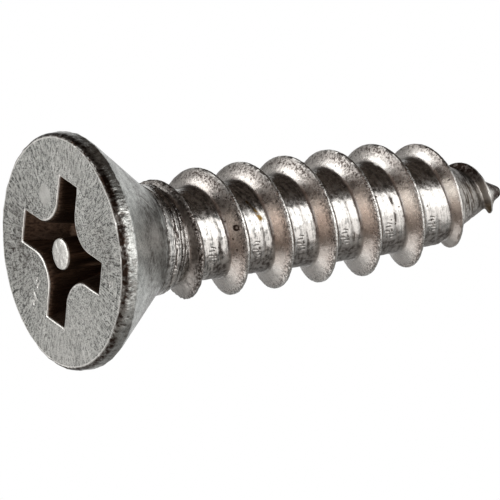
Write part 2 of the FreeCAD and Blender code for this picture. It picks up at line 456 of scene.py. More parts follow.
    def thread_rows(self, first_height):
        """Rows that follow the ridge: each keeps its offset from the crest and climbs one pitch a turn.

        The radius is the larger of the core and the ridge, with the corner between them rounded. The ridge is
        the crest's radius less the distance past its flat top divided by the tangent of the flank angle.
        """
        thread = self.thread
        half = thread.crest_width / 2
        flank = self.crest_depth * math.tan(thread.flank_angle)
        stops = (0.0, half, half + flank, thread.pitch - half - flank, thread.pitch - half, thread.pitch)
        offsets = np.concatenate([
            np.linspace(stops[k], stops[k + 1], rows, endpoint=False) for k, rows in enumerate(ROWS_IN_TURN)
        ])
        per_turn = len(offsets)
        angles = np.append(self.angles, 2 * math.pi)
        base = thread.crest_height + thread.pitch * (angles - thread.crest_angle) / (2 * math.pi)
        first_turn = math.floor((first_height - base[-1]) / thread.pitch)
        last_turn = math.ceil((self.pole_distance() - base[0]) / thread.pitch)
        index = np.arange((last_turn - first_turn) * per_turn + 1)
        crest = base[None, :] + thread.pitch * (first_turn + index[:, None] // per_turn)
        across = np.broadcast_to(offsets[index % per_turn][:, None], crest.shape)
        distance = np.clip(crest + across, first_height, self.pole_distance())
        height, core = self.along_meridian(distance)
        ridge, peak = np.full(crest.shape, -1.0), np.full(crest.shape, -1.0)
        for centre in (crest, crest + thread.pitch):
            top = self.shank_radius(centre) + self.ridge_depth(centre)
            peak = np.maximum(peak, top)
            drop = (np.abs(height - centre) - half) / math.tan(thread.flank_angle)
            ridge = np.maximum(ridge, soft_min(top, top - drop, CREST_ROUND))
        radius = soft_max(core, ridge, FOOT_ROUND)
        radius = np.where(distance >= self.pole_distance(), 0.0, radius)
        points = np.stack([radius * np.cos(angles), radius * np.sin(angles), height], axis=2)
        return {
            "points": points,
            "crest": crest,
            "across": across,
            "stands": np.clip((ridge - core) / np.maximum(peak - core, LEAST_DEPTH), -1.0, 1.0),
            "low": distance <= first_height,
            "high": distance >= self.pole_distance(),
            "per_turn": per_turn,
        }


def grid_triangles(ids):
    """Two triangles for each cell of a grid of point numbers, without those that have shrunk to nothing."""
    a, b, c, d = ids[:-1, :-1], ids[:-1, 1:], ids[1:, 1:], ids[1:, :-1]
    triangles = np.concatenate([
        np.stack(corners, axis=-1).reshape(-1, 3) for corners in ((a, b, c), (a, c, d))
    ])
    whole = np.all(triangles != np.roll(triangles, -1, axis=1), axis=1)
    return triangles[whole], whole


def point_normals(points, triangles):
    """Unit normals at the points, as the sum of the areas of the triangles round each."""
    corners = points[triangles]
    areas = np.cross(corners[:, 1] - corners[:, 0], corners[:, 2] - corners[:, 0])
    normals = np.zeros_like(points)
    for axis in range(3):
        for corner in range(3):
            normals[:, axis] += np.bincount(triangles[:, corner], areas[:, axis], len(points))
    return normals / np.maximum(np.linalg.norm(normals, axis=1, keepdims=True), 1e-12)


def screw_surface(shape):
    """Points, triangles and named regions of the whole screw as one closed sheet.

    Rings run from the pin's centre to the neck. The thread's rows start on the last ring, where a row that
    is still below it uses the ring's own points, and all rows end in the tip's pole. A row's last point is
    the first point of the row one turn higher.
    """
    columns = shape.columns
    recess = shape.recess_rings()
    names, rings = zip(*recess, *shape.head_rings(recess[-1][1]))
    thread = shape.thread_rows(FIRST_ROW)
    size = shape.recess
    pin_centre = np.array([[size.pin_shift_x, size.pin_shift_y, size.pin_sunk]])
    tip = np.array([[0.0, 0.0, shape.thread.screw_length]])
    rows, per_turn = len(thread["points"]), thread["per_turn"]
    points = np.concatenate([pin_centre, tip, *rings, thread["points"][:, :-1].reshape(-1, 3)])

    first_ring = 2
    first_row = first_ring + len(rings) * columns
    ring_ids = first_ring + np.arange(len(rings) * columns).reshape(-1, columns)
    ring_ids = np.concatenate([np.zeros((1, columns), int), ring_ids])
    ring_ids = np.concatenate([ring_ids, ring_ids[:, :1]], axis=1)
    row_ids = first_row + np.arange(rows * columns).reshape(rows, columns)
    wrapped = np.concatenate([row_ids[per_turn:, :1], np.ones((per_turn, 1), int)])
    row_ids = np.concatenate([row_ids, wrapped], axis=1)
    row_ids = np.where(thread["high"], 1, row_ids)
    row_ids = np.where(thread["low"], ring_ids[-1], row_ids)

    head_triangles, head_whole = grid_triangles(ring_ids)
    thread_triangles, _ = grid_triangles(row_ids)
    ring_of = np.tile(np.repeat(np.arange(len(rings)), columns), 2)[head_whole]
    regions = np.concatenate([np.array(names)[ring_of], np.full(len(thread_triangles), "thread")])
    triangles = np.concatenate([head_triangles, thread_triangles])
    used, compact = np.unique(triangles, return_inverse=True)
    kinds = np.concatenate([
        ["pin_top", "thread"], np.repeat(names, columns), np.full(rows * columns, "thread")
    ])
    facts = {"kind": kinds[used]}
    in_thread = used >= first_row
    row_point = np.where(in_thread, used - first_row, 0)
    for key, elsewhere in (("crest", 0.0), ("across", 0.0), ("stands", -1.0)):
        facts[key] = np.where(in_thread, thread[key][:, :-1].ravel()[row_point], elsewhere)
    return points[used], compact.reshape(-1, 3), regions, facts


# Wear and tool marks


def bump_line(offset, width):
    """Bell curve of an offset from a line: one on the line, and gone a few widths away."""
    return np.exp(-(offset / width) ** 2)


def dent(points, centre, radius):
    """Bell-shaped mark about a point."""
    return np.exp(-np.sum((points - np.array(centre)) ** 2, axis=1) / radius ** 2)


def near_segment(points, start, end, width):
    """Bell curve of the distance from a straight segment between two places."""
    start, end = np.array(start), np.array(end)
    along = end - start
    share = np.clip((points - start) @ along / (along @ along), 0.0, 1.0)
    return bump_line(np.linalg.norm(points - start - share[:, None] * along, axis=1), width)


def place_at(degrees, height, radius):
    """The place with a polar angle, a height above the face and a distance from the axis."""
    return (radius * math.cos(math.radians(degrees)), radius * math.sin(math.radians(degrees)), height)


def lap_height(points):
    """Height on the neck, with the slow waves in which the laps run round it."""
    return points[:, 2] + 0.07 * layered_noise(points * (1.0, 1.0, 0.2), size=1.5, seed=51, layers=2)


def along_turns(points, facts):
    """Places for patterns that follow the thread: they change slowly along a turn and from turn to turn."""
    return np.column_stack([points[:, :2], facts["crest"]]) / (1.1, 1.1, 1.6)


def root_line(points, facts):
    """Where the two halves of the rolling die met: a thin line along each root, with slow waves."""
    waves = 0.10 * layered_noise(along_turns(points, facts), size=1.2, seed=64, layers=2)
    return bump_line(facts["across"] - ROOT_LINE - waves, ROOT_LINE_WIDTH)


# Pit in a flank and crack in the next: both ends and half width
PIT = (place_at(65.2, 8.28, 2.83), place_at(65.2, 8.34, 2.87), 0.21)
CRACK = (place_at(104.9, 8.40, 2.52), place_at(112.7, 8.63, 2.82), 0.05)
# Golden speck along the thread, from its upper to its lower end, and its half width
GOLD_SPECK = (
    (place_at(34.0, 9.64, 2.33), place_at(47.0, 9.90, 2.33), 0.10),
    (place_at(45.0, 9.86, 2.33), place_at(58.0, 10.12, 2.33), 0.15),
)
# Scratches and small dings on the head: both ends and half width
HEAD_MARKS = (
    (place_at(36.0, 2.66, 4.37), place_at(43.0, 4.05, 3.22), 0.035),
    ((-3.52, -2.12, 0.0), (-3.15, -2.02, 0.0), 0.09),
    ((-3.25, -1.86, 0.0), (-2.95, -2.16, 0.0), 0.08),
    ((-2.55, -1.90, 0.0), (-2.20, -1.74, 0.0), 0.10),
    ((-2.26, -2.04, 0.0), (-2.10, -1.96, 0.0), 0.09),
    ((0.02, 4.64, 0.0), (0.26, 4.68, 0.0), 0.07),
    ((0.04, 4.88, 0.0), (0.28, 4.84, 0.0), 0.07),
)
# Grooves round the neck between rolled laps: height, strength and half width
NECK_LAPS = (
    (4.12, 0.25, 0.05), (4.43, 1.0, 0.05), (4.80, 0.35, 0.04), (4.94, 1.0, 0.06), (5.16, 0.45, 0.04),
    (5.36, 1.0, 0.06), (5.62, 0.5, 0.05),
)
# Small dents in the face: X, Y, radius and depth
FACE_DENTS = ((-3.3, -2.05, 0.20, 0.03), (-2.35, -1.85, 0.16, 0.03), (0.15, 4.75, 0.15, 0.03))
# Strokes that the rolling die leaves at the same place of each turn: both ends, as millimetres round the root
# from the X axis and across it from the crest, and half width
ROLL_MARKS = (
    ((3.47, 0.97, 0.0), (3.52, 1.16, 0.0), 0.06), ((3.67, 0.86, 0.0), (3.65, 1.08, 0.0), 0.07),
    ((3.80, 1.14, 0.0), (3.92, 1.18, 0.0), 0.05), ((3.88, 0.80, 0.0), (3.90, 0.98, 0.0), 0.07),
    ((4.06, 0.98, 0.0), (4.08, 1.22, 0.0), 0.06), ((4.20, 0.84, 0.0), (4.31, 0.88, 0.0), 0.05),
    ((4.27, 1.06, 0.0), (4.25, 1.20, 0.0), 0.06), ((4.43, 0.94, 0.0), (4.42, 1.06, 0.0), 0.06),
)


def thread_parts(facts):
    """How much of each point belongs to root, flank and crest, from how far the ridge stands there."""
    stands = facts["stands"]
    root = 1.0 - smooth((stands + 0.12) / 0.24)
    crest = smooth((stands - 0.84) / 0.10)
    return root, 1.0 - root - crest, crest


# Line along each root, in millimetres: its distance above the crest below it, and its half width
ROOT_LINE = 1.42
ROOT_LINE_WIDTH = 0.045
# Waves in the surface: regions, stretch of the pattern, depth, size and seed of each, and how far all sinks
WAVES = (
    (("face", "lip"), (1.0, 1.0, 1.0), ((0.010, 0.9, 11), (0.006, 0.22, 12)), 0.012),
    (("roll", "land"), (1.0, 1.0, 1.0), ((0.024, 0.42, 21),), 0.03),
    (("pin_top",), (1.0, 1.0, 1.0), ((0.012, 0.3, 31),), 0.0),
    (("recess",), (1.0, 1.0, 0.3), ((0.015, 0.5, 41),), 0.0),
    (("entry",), (1.0, 1.0, 1.0), (), 0.0),
)
# Heights between which the laps lie on the neck, in millimetres
LAPPED = (4.1, 6.0)
# Depths of the wear in millimetres. FIRST is the first ridge, where the crest is ragged this much deeper.
LAP_DEPTH = 0.03
STREAK_DEPTH = 0.007
ROUGH_DEPTH = 0.004
LINE_DEPTH = 0.028
RAGGED_DEPTH = 0.010
FIRST_RAGGED_DEPTH = 0.035
FIRST_FLANK_DEPTH = 0.015
PIT_DEPTH = 0.05
CRACK_DEPTH = 0.02


def nearest_crest(shape, facts):
    """Height of the crest that is nearest to each point."""
    return facts["crest"] + np.where(facts["across"] > shape.thread.pitch / 2, shape.thread.pitch, 0.0)


def wear(shape, points, facts):
    """Height of the real surface over the plain one, in millimetres along the normal.

    Waves lie in all of it but the recess's entry. The neck has laps, each root has streaks and a line, the
    crests are ragged and most so on the first ridge, and the pit and the crack are hollows.
    """
    kind = facts["kind"]
    height = points[:, 2]
    rise = 0.006 * layered_noise(points, size=1.3, seed=3, layers=2)
    for regions, stretch, waves, sunk in WAVES:
        part = np.isin(kind, regions)
        rise[part] = sum(
            depth * layered_noise(points[part] * stretch, size, seed, 2) for depth, size, seed in waves
        ) - sunk
    face = np.isin(kind, ("face", "lip"))
    for x, y, radius, depth in FACE_DENTS:
        rise[face] -= depth * dent(points[face], (x, y, 0.0), radius)

    neck = np.isin(kind, ("cone", "thread")) & (facts["stands"] < 0.05) & (height > LAPPED[0])
    neck &= height < LAPPED[1]
    laps = np.zeros(np.count_nonzero(neck))
    for place, strength, width in NECK_LAPS:
        laps -= LAP_DEPTH * strength * bump_line(lap_height(points[neck]) - place, 1.5 * width)
    rise[neck] += laps

    thread = kind == "thread"
    skin = points[thread]
    root, flank, crest = (part[thread] for part in thread_parts(facts))
    streak_places = np.column_stack([along_turns(points, facts), facts["across"] / 0.11])[thread]
    finer_places = streak_places * (1.0, 1.0, 1.0, 2.3) + 9.1
    streaks = value_noise(streak_places, 61) + 0.6 * value_noise(finer_places, 62)
    rough = layered_noise(skin, size=0.16, seed=63, layers=2)
    detail = root * (STREAK_DEPTH * streaks + ROUGH_DEPTH * rough)
    detail += flank * ROUGH_DEPTH * rough
    detail -= LINE_DEPTH * (root * root_line(points, facts)[thread])
    first = 1.0 - smooth((nearest_crest(shape, facts)[thread] - 6.6) / 0.8)
    ragged = layered_noise(skin, size=0.20, seed=65, layers=2)
    detail += crest * (RAGGED_DEPTH + FIRST_RAGGED_DEPTH * first) * ragged
    detail += flank * first * FIRST_FLANK_DEPTH * layered_noise(skin, size=0.3, seed=66, layers=2)
    rise[thread] += detail
    pit = near_segment(points, *PIT[:2], width=0.10)
    crack = near_segment(points, *CRACK[:2], width=0.06)
    return rise - (PIT_DEPTH * pit + CRACK_DEPTH * crack)


def worn(shape, points, triangles, facts):
    """The points moved along their normals by the wear, and kept inside the solid's own box."""
    moved = points + wear(shape, points, facts)[:, None] * point_normals(points, triangles)
    widest = np.hypot(moved[:, 0], moved[:, 1])
    keep = np.minimum(1.0, shape.head_radius / np.maximum(widest, 1e-9))
    moved[:, :2] *= keep[:, None]
    moved[:, 2] = np.clip(moved[:, 2], 0.0, shape.thread.screw_length)
    return moved


# Lighter and darker places on the head: X, Y, Z, radius, lighter share and darker share
HEAD_SPOTS = (
    (4.8, 0.0, 0.0, 1.8, 0.16, 0.0),
    (-4.4, 1.0, 0.0, 2.2, 0.26, 0.0),
    (-2.4, 3.1, 0.0, 1.3, 0.14, 0.0),
    # A painted soft highlight on the cone
    (1.83, 3.44, 3.20, 0.55, 0.50, 0.0),
    (-0.9, -3.9, 0.0, 2.2, 0.0, 0.68),
    (1.5, 4.0, 0.0, 1.8, 0.0, 0.40),
)
# Lighter place on the face between two wings: X, Y, radius and the length over which it fades
FACE_PATCH = (2.25, -1.98, 0.62, 0.14)
# Where things begin: the measure that they follow, where they start and the length over which they grow,
# negative where they grow downwards. Heights and distances are in millimetres and angles in degrees.
STARTS = {
    "over_roll": ("height", 0.24, 0.22), "up_land": ("height", 0.45, 0.2), "up_cone": ("height", 1.5, 0.9),
    "mottled": ("height", 1.7, 0.8), "lower_turns": ("height", 7.0, 3.0), "cleaner": ("height", 8.0, 9.0),
    "far_turns": ("height", 14.0, 5.0), "point": ("height", 20.8, 1.5), "cap": ("height", 24.2, 0.2),
    "end": ("height", 24.5, 0.2), "outer_face": ("from_axis", 2.8, 1.6),
    "past_first": ("nearest", 6.4, 0.8), "point_ridge": ("nearest", 21.5, 0.8),
    "last": ("nearest", 22.2, 0.8), "core": ("stands", 0.10, -0.10), "upper_flank": ("stands", 0.30, 0.55),
    "by_crest": ("stands", 0.50, 0.3), "low_flank": ("stands", 0.6, -0.4),
    "under_crest": ("stands", 0.9, -0.3), "off_back": ("angle", -80.0, 40.0),
    "off_top": ("angle", 18.0, 26.0), "golden": ("angle", 25.0, 30.0), "off_cap": ("angle", 52.0, 12.0),
    "off_point_top": ("angle", 40.0, 28.0), "below": ("angle", 86.0, 16.0), "bottom": ("angle", 102.0, 12.0),
}
# Bands that fade to both sides: the measure, the middle and the half width
BANDS = {
    "mottled_side": ("angle", 72.0, 48.0), "brown_side": ("angle", -10.0, 40.0),
    "spot_height": ("height", 24.05, 0.45), "spot_side": ("angle", 64.0, 18.0),
    "far_side": ("angle", 62.0, 26.0), "clean_side": ("angle", 5.0, 30.0), "film_side": ("angle", 86.0, 46.0),
    "corner": ("stands", -0.05, 0.10),
}


def surface_facts(shape, points, facts):
    """What the materials need to know at each point: three places on the thread, and shares of nought to one.

    The three are the crest's height, the distance across from it and the way round the root. A share says how
    much of something is there, and it may pass one where the stain or the tint covers all. The lighter share
    also holds painted highlights, the darker one painted shade, and the warm one a painted warm reflection.
    """
    kind, height, stands = facts["kind"], points[:, 2], facts["stands"]
    root, flank, crest = thread_parts(facts)
    thread, cone = kind == "thread", kind == "cone"
    face, rim = np.isin(kind, ("face", "lip")), np.isin(kind, ("roll", "land"))
    measures = {
        "height": height, "stands": stands, "from_axis": np.hypot(points[:, 0], points[:, 1]),
        "angle": np.degrees(np.arctan2(points[:, 1], points[:, 0])), "nearest": nearest_crest(shape, facts),
    }
    angle, from_axis = measures["angle"], measures["from_axis"]
    past = SimpleNamespace(**{
        name: smooth((measures[key] - start) / length) for name, (key, start, length) in STARTS.items()
    })
    band = SimpleNamespace(**{
        name: bump_line(measures[key] - middle, width) for name, (key, middle, width) in BANDS.items()
    })
    rubbed_and_highlight, soil_and_shade, rough = (np.zeros(len(points)) for _ in range(3))

    # The lip's and the rolled edge's rims and the face's outer band are lightened all round: worn bright
    # metal, and a painted highlight along the edges
    rubbed_and_highlight[((kind == "lip") & (height < 0.05)) | ((kind == "roll") & (height < 0.02))] = 0.95
    rubbed_and_highlight[(kind == "face") & (from_axis > shape.head_radius - 0.27)] = 0.95
    rubbed_and_highlight[kind == "pin_top"] = 0.70
    for x, y, z, radius, bright, dark in HEAD_SPOTS:
        near = dent(points, (x, y, z), radius) * (face | cone)
        rubbed_and_highlight = np.maximum(rubbed_and_highlight, bright * near)
        soil_and_shade = np.maximum(soil_and_shade, dark * near)
    x, y, radius, fading = FACE_PATCH
    patch = smooth((radius - np.hypot(points[:, 0] - x, points[:, 1] - y)) / fading) * face
    rubbed_and_highlight = np.maximum(rubbed_and_highlight, 0.35 * patch)
    soil_and_shade = np.where(rim, np.maximum(soil_and_shade, 1.3 * (1.0 - past.over_roll) * (height > 0.02)), soil_and_shade)
    rough[rim] = (1.0 - 0.45 * past.up_land)[rim]
    # Painted shade on the cone: darker towards the neck, round the side at about 72 degrees above a height of
    # 1.7 mm, and round the side at about -10 degrees, broken up into mottling by the material
    mottled = band.mottled_side * past.mottled * cone
    soil_and_shade[cone] = (0.22 * past.up_cone + 0.55 * mottled + 0.5 * band.brown_side)[cone]

    # Painted shade in the corner at the foot of the flank on one side of each root
    corner = band.corner * (facts["across"] > shape.thread.pitch / 2)
    # Painted shade on the flanks of the first ridge
    first = (1.0 - past.past_first) * flank
    last = past.last * flank
    # Lighter turns: the share grows from 8 to 17 mm above the face and goes again towards the point
    clean = past.cleaner * (1.0 - past.point)
    lower = past.below * (angle < 150.0) * flank * past.lower_turns
    # Painted shade on the lower side of the roots, above a height of 7.5 mm
    root_bottom = past.bottom * (angle < 170.0) * root * (height > 7.5)
    towards_top = (1.0 - past.off_top) * (0.35 + 0.65 * past.off_back)
    upper = past.upper_flank * towards_top * (flank + crest) * (1.0 - 0.4 * clean)
    end = np.maximum(past.end, past.cap * (1.0 - past.off_cap))
    top_of_point = np.maximum(past.point, 1.2 * (past.point_ridge * flank)) * (1.0 - past.off_point_top)
    # Darker brown: the painted shade above, the die's line along each root, the last ridge, the point and its
    # end, and near the crests round the top side
    for strength, stained in (
        (0.6, corner), (0.7, root * root_line(points, facts)), (0.60, first), (1.6, last), (0.45, past.point),
        (0.95, top_of_point), (1.6, end), (0.85, root_bottom), (0.75, upper),
    ):
        soil_and_shade[thread] = np.maximum(soil_and_shade, strength * stained)[thread]
    hammered = past.by_crest * (1.0 - past.past_first) * thread
    # Painted highlights along the crests, on a spot of the tip, on the flanks of the far turns round one
    # side, on the lower flanks, and on the flanks near the roots round another side
    for strength, bright in (
        (0.40, crest * (1.0 - last) * (1.0 - hammered)), (1.0, band.spot_height * band.spot_side),
        (0.5, past.far_turns * flank * band.far_side), (0.25, lower * (1.0 - last) * past.under_crest),
        (0.6, clean * flank * band.clean_side * past.low_flank),
    ):
        rubbed_and_highlight = np.maximum(rubbed_and_highlight, strength * bright * thread)
    gold = 0.62 * np.maximum(last, 0.3 * past.point) * past.golden * (1.0 - end)
    return {
        "rubbed_and_highlight": rubbed_and_highlight, "soil_and_shade": soil_and_shade, "rough": rough, "hammered": hammered, "flank": flank,
        "pitted": smooth((stands - 0.45 + 0.22 * towards_top) / 0.45) * thread,
        "grainy": np.where(cone, 0.35, np.where(rim, 0.25, 1.0 - 0.75 * patch)),
        "strokes": 0.42 * past.outer_face * face,
        "neck": (cone | thread) * past.core * (height < 6.2),
        "gold": gold * thread, "clean": clean * thread, "streaked": past.point * (1.0 - flank) * thread,
        # A thin warm coat on every flank, and a painted warm reflection that is strongest round the side at
        # about 86 degrees
        "film": flank * (0.25 + 0.75 * band.film_side) * (1.0 - 0.6 * first),
        "crest_height": facts["crest"], "across": facts["across"],
        "round_root": np.radians(angle) * shape.root_radius,
    }


# Materials


def add_node(tree, kind, inputs=None, output=0, **settings):
    """One output of a new node, once its settings are made and its inputs are set or linked."""
    node = tree.nodes.new("ShaderNode" + kind)
    for key, value in settings.items():
        setattr(node, key, value)
    for key, value in (inputs or {}).items():
        if isinstance(value, bpy.types.NodeSocket):
            tree.links.new(value, node.inputs[key])
        else:
            node.inputs[key].default_value = value
    return node.outputs[output] if node.outputs else None


def new_material(name):
    """An empty material, and the function that adds nodes to it."""
    material = bpy.data.materials.new(name)
    material.use_nodes = True
    material.node_tree.nodes.clear()
    return material, partial(add_node, material.node_tree)


# Sizes of the patterns in millimetres. The real grain is taken to be finer than a pixel of the picture, or
# 0.05 mm, so both grains are drawn this coarse to show at all.
TUMBLED_GRAIN = 0.07
ROLLED_GRAIN = 0.11
DIE_STREAK = 0.09
SCORE_MARK = 0.11
STAIN = 0.23
PEBBLE = 0.26
HAMMER_MARK = 0.17
OUTWARD_STROKE = 0.09
SPOT_SPACING = 0.42
SHADE = 0.9
LAP_WAVE = 1.4
# The inputs of a node that brings a value from one range to another
RANGE = ("Value", "From Min", "From Max", "To Min", "To Max")
# How far the slow and the ragged noise shift the neck's grooves, in millimetres
LAP_SHIFTS = (0.4, 0.2)
# Relief of each pattern as a multiple of the grain's own, and less than nought for a hollow
PEBBLE_RELIEF = 7.0
HAMMER_RELIEF = 7.0
GROOVE_RELIEF = -3.0
PIT_RELIEF = -0.6
# Depth of each steel's relief in millimetres
TUMBLED_RELIEF = 0.012
PUNCHED_RELIEF = 0.015
ROLLED_RELIEF = 0.010
# How much of the brown shows in the strokes that the die pressed
PRESSED_SHARE = 0.45


def place_in_millimetres(add):
    """The place on the screw in millimetres, so that a pattern's scale is one over its real size."""
    return add("Mapping", {"Vector": add("TexCoord", output="Object"), "Scale": (1 / MM, 1 / MM, 1 / MM)})


def strongest(add, values):
    """The largest of the values at each place, for patterns that lie over one another."""
    return reduce(lambda one, other: add("Math", {0: one, 1: other}, operation="MAXIMUM"), values)


def patches(add, *rows):
    """Each row's mask times its pattern, once the pattern is brought from one range to another."""
    return [
        add("Math", {0: mask, 1: add("MapRange", dict(zip(RANGE, pattern_and_range)))}, operation="MULTIPLY")
        for mask, *pattern_and_range in rows
    ]


def coated(add, colour, coats):
    """The colour under coats, each with its share of the surface and its own colour."""
    colour = list(colour)
    for share, coat in coats:
        colour = add("Mix", {0: share, 6: colour, 7: list(coat)}, output=2, data_type="RGBA")
    return colour


def neck_grooves(add, place):
    """Ragged lines round the neck: one in the middle of each groove and nought beside it.

    Two noises shift the height above the face, so that the lines wave and their edges are ragged.
    """
    round_neck = add("Mapping", {"Vector": place, "Scale": (1.0, 1.0, 0.3)})
    slow = add("TexNoise", {"Vector": round_neck, "Scale": 1 / LAP_WAVE, "Detail": 1.0})
    ragged = add("TexNoise", {"Vector": place, "Scale": 1 / STAIN, "Roughness": 0.6})
    height = add("SeparateXYZ", {"Vector": place}, output="Z")
    for noise, shift in zip((slow, ragged), LAP_SHIFTS):
        height = add("Math", {0: noise, 1: shift, 2: height}, operation="MULTIPLY_ADD")
    height = add("Math", {0: height, 1: sum(LAP_SHIFTS) / 2}, operation="SUBTRACT")
    grooves = [0.0]
    for lap, strength, half_width in NECK_LAPS:
        off = add("Math", {0: add("Math", {0: height, 1: lap}, operation="SUBTRACT")}, operation="ABSOLUTE")
        line = {"Value": off, "From Max": 1.2 * half_width, "To Min": 0.75 * strength, "To Max": 0.0}
        grooves.append(add("MapRange", line))
    neck = add("Attribute", attribute_name="neck", output="Fac")
    return add("Math", {0: strongest(add, grooves), 1: neck}, operation="MULTIPLY")


def near_marks(add, place, marks):
    """One on the line of any of the marks, falling to nought at its half width.

    The nearest place on a mark is its start plus the share of its length that the dot product gives.
    """
    lines = [0.0]
    for start, end, half_width in marks:
        along = np.subtract(end, start)
        offset = add("VectorMath", {0: place, 1: start}, operation="SUBTRACT")
        towards_end = along / (along @ along)
        share = add("VectorMath", {0: offset, 1: towards_end}, output="Value", operation="DOT_PRODUCT")
        share = add("MapRange", {"Value": share})
        nearest = add("VectorMath", {0: along, "Scale": share}, operation="SCALE")
        distance = add("VectorMath", {0: offset, 1: nearest}, output="Value", operation="DISTANCE")
        lines.append(add("MapRange", dict(zip(RANGE, (distance, 0.0, half_width, 1.0, 0.0)))))
    return strongest(add, lines)


def finish_metal(add, colour, roughness, depth, relief, more=()):
    """Metal with a colour, a roughness and a relief of this depth in millimetres.

    More patterns are added to the relief, each times its own strength.
    """
    for strength, pattern in more:
        relief = add("Math", {0: pattern, 1: strength, 2: relief}, operation="MULTIPLY_ADD")
    normal = add("Bump", {"Height": relief, "Distance": depth * MM, "Strength": 1.0})
    steel = add("BsdfPrincipled", {
        "Base Color": colour, "Metallic": 1.0, "Roughness": roughness, "Normal": normal,
    })
    add("OutputMaterial", {"Surface": steel})


def tumbled_steel(colours):
    """Cold headed stainless steel after tumbling.

    The eye sees a satin grey with a fine speckled grain, faint strokes outwards near the edge of the face, a
    pebbled rim with brown left between the pebbles, and brighter metal on worn edges. Painted highlights lie
    along the edges and on the cone, and the brown on the cone is painted shade.
    """
    material, add = new_material("Stainless steel, cold headed and tumbled")
    place = place_in_millimetres(add)
    rubbed_and_highlight, soil_and_shade, rim, grainy, strokes = (
        add("Attribute", attribute_name=name, output="Fac")
        for name in ("rubbed_and_highlight", "soil_and_shade", "rough", "grainy", "strokes")
    )
    along_land = add("Mapping", {"Vector": place, "Scale": (1.0, 1.0, 0.6)})
    # The strokes' noise lies on a circle about the axis and hardly changes outwards
    flat = add("VectorMath", {0: place, 1: (1.0, 1.0, 0.0)}, operation="MULTIPLY")
    outward = add("VectorMath", {
        0: add("VectorMath", {0: flat}, operation="NORMALIZE"), 1: (4.5, 4.5, 4.5),
        2: add("VectorMath", {0: flat, "Scale": 0.12}, operation="SCALE"),
    }, operation="MULTIPLY_ADD")
    grain, cloud, shade, pebble, stroke = (
        add("TexNoise", {"Vector": where, "Scale": 1 / size, "Detail": detail, "Roughness": contrast})
        for where, size, detail, contrast in (
            (place, TUMBLED_GRAIN, 2.0, 0.8), (place, STAIN, 3.0, 0.6), (place, SHADE, 3.0, 0.6),
            (along_land, PEBBLE, 2.0, 0.6), (outward, OUTWARD_STROKE, 2.0, 0.7),
        )
    )
    grain = add("Mix", {0: strokes, 2: grain, 3: stroke})
    speckle = add("Mix", {0: 0.25, 2: grain, 3: cloud})
    mottle = add("Mix", {0: 0.5, 2: shade, 3: cloud})
    lightness = add("Mix", {
        0: grainy,
        2: add("MapRange", dict(zip(RANGE, (shade, 0.35, 0.65, 0.35, 0.8)))),
        3: add("MapRange", dict(zip(RANGE, (speckle, 0.44, 0.53)))),
    })
    # Brown patches on the head, which include painted shade on the cone, broken up by mottling
    brown_and_shade, between = patches(
        add, (soil_and_shade, mottle, 0.40, 0.58, 1.0, 0.2), (rim, pebble, 0.38, 0.48, 0.75, 0.0),
    )
    grooves = neck_grooves(add, place)
    marks = near_marks(add, place, HEAD_MARKS)
    colour = coated(add, colours.tumbled_dark, (
        (lightness, colours.tumbled),
        (strongest(add, (brown_and_shade, between, grooves)), colours.soil_and_shade),
        # Lighter metal: worn places, scratches and painted highlights
        (strongest(add, (rubbed_and_highlight, marks)), colours.rubbed_and_highlight),
    ))
    roughness = add("MapRange", {
        "Value": speckle, "From Min": 0.38, "From Max": 0.62, "To Min": 0.46, "To Max": 0.28,
    })
    finish_metal(add, colour, roughness, TUMBLED_RELIEF, speckle, (
        (PEBBLE_RELIEF, add("Math", {0: pebble, 1: rim}, operation="MULTIPLY")),
        (GROOVE_RELIEF, add("Math", {0: grooves, 1: marks}, operation="ADD")),
    ))
    return material


def punched_steel(colours):
    """Stainless steel sheared by the punch.

    The eye sees a dark and brownish metal with fine score marks along the punch's stroke.
    """
    material, add = new_material("Stainless steel, punched recess")
    stroke = add("Mapping", {"Vector": place_in_millimetres(add), "Scale": (1.0, 1.0, 0.12)})
    score = add("TexNoise", {"Vector": stroke, "Scale": 1 / SCORE_MARK, "Detail": 2.0, "Roughness": 0.6})
    shine = add("MapRange", {"Value": score, "From Min": 0.36, "From Max": 0.66})
    roughness = add("MapRange", {
        "Value": score, "From Min": 0.3, "From Max": 0.7, "To Min": 0.5, "To Max": 0.32,
    })
    colour = coated(add, colours.punched_dark, ((shine, colours.punched),))
    finish_metal(add, colour, roughness, PUNCHED_RELIEF, score)
    return material


